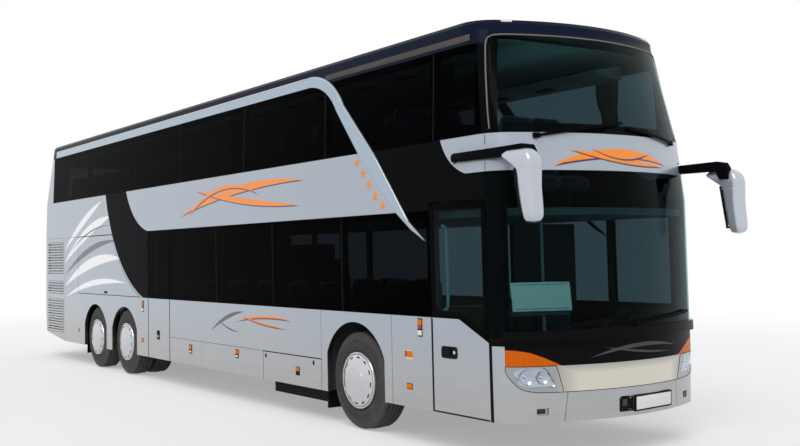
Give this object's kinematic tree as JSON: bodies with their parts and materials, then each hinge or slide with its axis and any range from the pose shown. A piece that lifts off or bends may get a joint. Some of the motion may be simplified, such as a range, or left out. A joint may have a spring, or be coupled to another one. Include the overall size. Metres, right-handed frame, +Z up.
{
  "type": "double-deck touring coach",
  "caption": "Tri-axle double-deck touring coach with swing-out doors, steered front wheels, rolling wheels, lifting luggage and service flaps and a lifting engine lid.",
  "frame": {"origin": "on the road, under the middle of the whole box, mirrors counted", "axes": "+X forward, +Y to the bus's left, +Z up"},
  "size_m": [14.14, 2.885, 4.0498],
  "materials": {
    "silver": "metallic silver-blue gloss paint",
    "gloss_black": "gloss black paint",
    "tint_glass": "dark tinted glass",
    "clear_glass": "clear glass with a green tint",
    "strip_silver": "brushed silver paint",
    "mirror_shell": "silver-blue gloss",
    "dark_plastic": "dark textured plastic",
    "mirror_face": "mirror",
    "lamp_clear": "clear lamp lens",
    "lamp_amber": "amber lens",
    "lamp_red": "red lens",
    "bright_panel": "polished bright metal",
    "seat_cloth": "dark woven cloth",
    "floor_covering": "grey floor covering",
    "frame_steel": "satin black chassis paint",
    "engine_iron": "painted cast iron",
    "tyre": "black rubber",
    "wheel_silver": "silver wheel paint"
  },
  "bodies": {
    "body": {"arch_strips": "strip_silver", "chassis_rails": "frame_steel", "dashboard": "dark_plastic", "engine_block": "engine_iron", "floor_lower": "floor_covering", "front_axle": "frame_steel", "front_band": "silver", "front_bumper": "silver", "front_nose": "gloss_black", "front_pillars": "gloss_black", "headlamps": "lamp_clear", "indicators": "lamp_amber", "mirror_arms": "dark_plastic", "mirror_glass": "mirror_face", "mirror_heads": "mirror_shell", "nose_panel": "bright_panel", "rear_axles": "frame_steel", "rear_glass": "tint_glass", "rear_quarters": "silver", "rear_wall": "silver", "roof": "gloss_black", "seats_lower": "seat_cloth", "seats_upper": "seat_cloth", "shoulder_panels": "gloss_black", "side_glass": "tint_glass", "side_panels": "silver", "stairs": "floor_covering", "tail_lamps": "lamp_red", "under_boxes": "dark_plastic", "upper_deck": "floor_covering", "window_frames": "gloss_black", "windscreens": "clear_glass", "wipers": "dark_plastic"},
    "knuckle_left": {"knuckle_left": "frame_steel"},
    "knuckle_right": {"knuckle_right": "frame_steel"},
    "front_door_arm": {"front_door_arm": "frame_steel"},
    "front_door": {"front_door": "silver", "front_door_glass": "tint_glass"},
    "mid_door_arm": {"mid_door_arm": "frame_steel"},
    "mid_door": {"mid_door": "silver", "mid_door_glass": "tint_glass"},
    "luggage_flap_left": {"luggage_flap_left": "silver"},
    "luggage_flap_right": {"luggage_flap_right": "silver"},
    "service_flap_left": {"service_flap_left": "silver"},
    "service_flap_right": {"service_flap_right": "silver"},
    "engine_lid": {"engine_lid": "silver"},
    "wheel_front_left": {"tyre_front_left": "tyre", "rim_front_left": "wheel_silver"},
    "wheel_front_right": {"tyre_front_right": "tyre", "rim_front_right": "wheel_silver"},
    "wheel_drive_left": {"tyre_drive_left": "tyre", "rim_drive_left": "wheel_silver"},
    "wheel_drive_right": {"tyre_drive_right": "tyre", "rim_drive_right": "wheel_silver"},
    "wheel_tag_left": {"tyre_tag_left": "tyre", "rim_tag_left": "wheel_silver"},
    "wheel_tag_right": {"tyre_tag_right": "tyre", "rim_tag_right": "wheel_silver"}
  },
  "joints": [
    {"name": "steer_left", "type": "hinge", "parent": "body", "child": "knuckle_left", "pos_m": [4.13923, 0.96, 0.522], "axis": [0, 0, 1], "range_deg": [-40, 40]},
    {"name": "steer_right", "type": "hinge", "parent": "body", "child": "knuckle_right", "pos_m": [4.13923, -0.96, 0.522], "axis": [0, 0, 1], "range_deg": [-40, 40]},
    {"name": "roll_front_left", "type": "hinge", "parent": "knuckle_left", "child": "wheel_front_left", "pos_m": [4.13923, 1.076, 0.522], "axis": [0, 1, 0], "continuous": true},
    {"name": "roll_front_right", "type": "hinge", "parent": "knuckle_right", "child": "wheel_front_right", "pos_m": [4.13923, -1.076, 0.522], "axis": [0, 1, 0], "continuous": true},
    {"name": "roll_drive_left", "type": "hinge", "parent": "body", "child": "wheel_drive_left", "pos_m": [-2.56131, 1.076, 0.522], "axis": [0, 1, 0], "continuous": true},
    {"name": "roll_drive_right", "type": "hinge", "parent": "body", "child": "wheel_drive_right", "pos_m": [-2.56131, -1.076, 0.522], "axis": [0, 1, 0], "continuous": true},
    {"name": "roll_tag_left", "type": "hinge", "parent": "body", "child": "wheel_tag_left", "pos_m": [-3.91131, 1.076, 0.522], "axis": [0, 1, 0], "continuous": true},
    {"name": "roll_tag_right", "type": "hinge", "parent": "body", "child": "wheel_tag_right", "pos_m": [-3.91131, -1.076, 0.522], "axis": [0, 1, 0], "continuous": true},
    {"name": "front_door_swing", "type": "hinge", "parent": "body", "child": "front_door_arm", "pos_m": [6.23, -1.13, 1.3], "axis": [0, 0, 1], "range_deg": [0, 105]},
    {"name": "front_door_level", "type": "hinge", "parent": "front_door_arm", "child": "front_door", "pos_m": [5.63, -1.13, 1.3], "axis": [0, 0, 1], "range_deg": [-105, 0]},
    {"name": "mid_door_swing", "type": "hinge", "parent": "body", "child": "mid_door_arm", "pos_m": [-0.82631, -1.13, 1.3], "axis": [0, 0, 1], "range_deg": [0, 105]},
    {"name": "mid_door_level", "type": "hinge", "parent": "mid_door_arm", "child": "mid_door", "pos_m": [-1.42631, -1.13, 1.3], "axis": [0, 0, 1], "range_deg": [-105, 0]},
    {"name": "luggage_flap_left_hinge", "type": "hinge", "parent": "body", "child": "luggage_flap_left", "pos_m": [-3.99131, 1.263, 2.24808], "axis": [1, 0, 0], "range_deg": [0, 90]},
    {"name": "service_flap_left_hinge", "type": "hinge", "parent": "body", "child": "service_flap_left", "pos_m": [2.78473, 1.263, 0.683], "axis": [1, 0, 0], "range_deg": [0, 90]},
    {"name": "luggage_flap_right_hinge", "type": "hinge", "parent": "body", "child": "luggage_flap_right", "pos_m": [-3.99131, -1.263, 2.24808], "axis": [-1, 0, 0], "range_deg": [0, 90]},
    {"name": "service_flap_right_hinge", "type": "hinge", "parent": "body", "child": "service_flap_right", "pos_m": [2.78473, -1.263, 0.683], "axis": [-1, 0, 0], "range_deg": [0, 90]},
    {"name": "engine_lid_hinge", "type": "hinge", "parent": "body", "child": "engine_lid", "pos_m": [-7.052, 0, 1.548], "axis": [0, 1, 0], "range_deg": [0, 80]}
  ],
  "couplings": [
    {"joint": "steer_right", "follows": "steer_left", "ratio": 1},
    {"joint": "front_door_level", "follows": "front_door_swing", "ratio": -1},
    {"joint": "mid_door_level", "follows": "mid_door_swing", "ratio": -1}
  ]
}
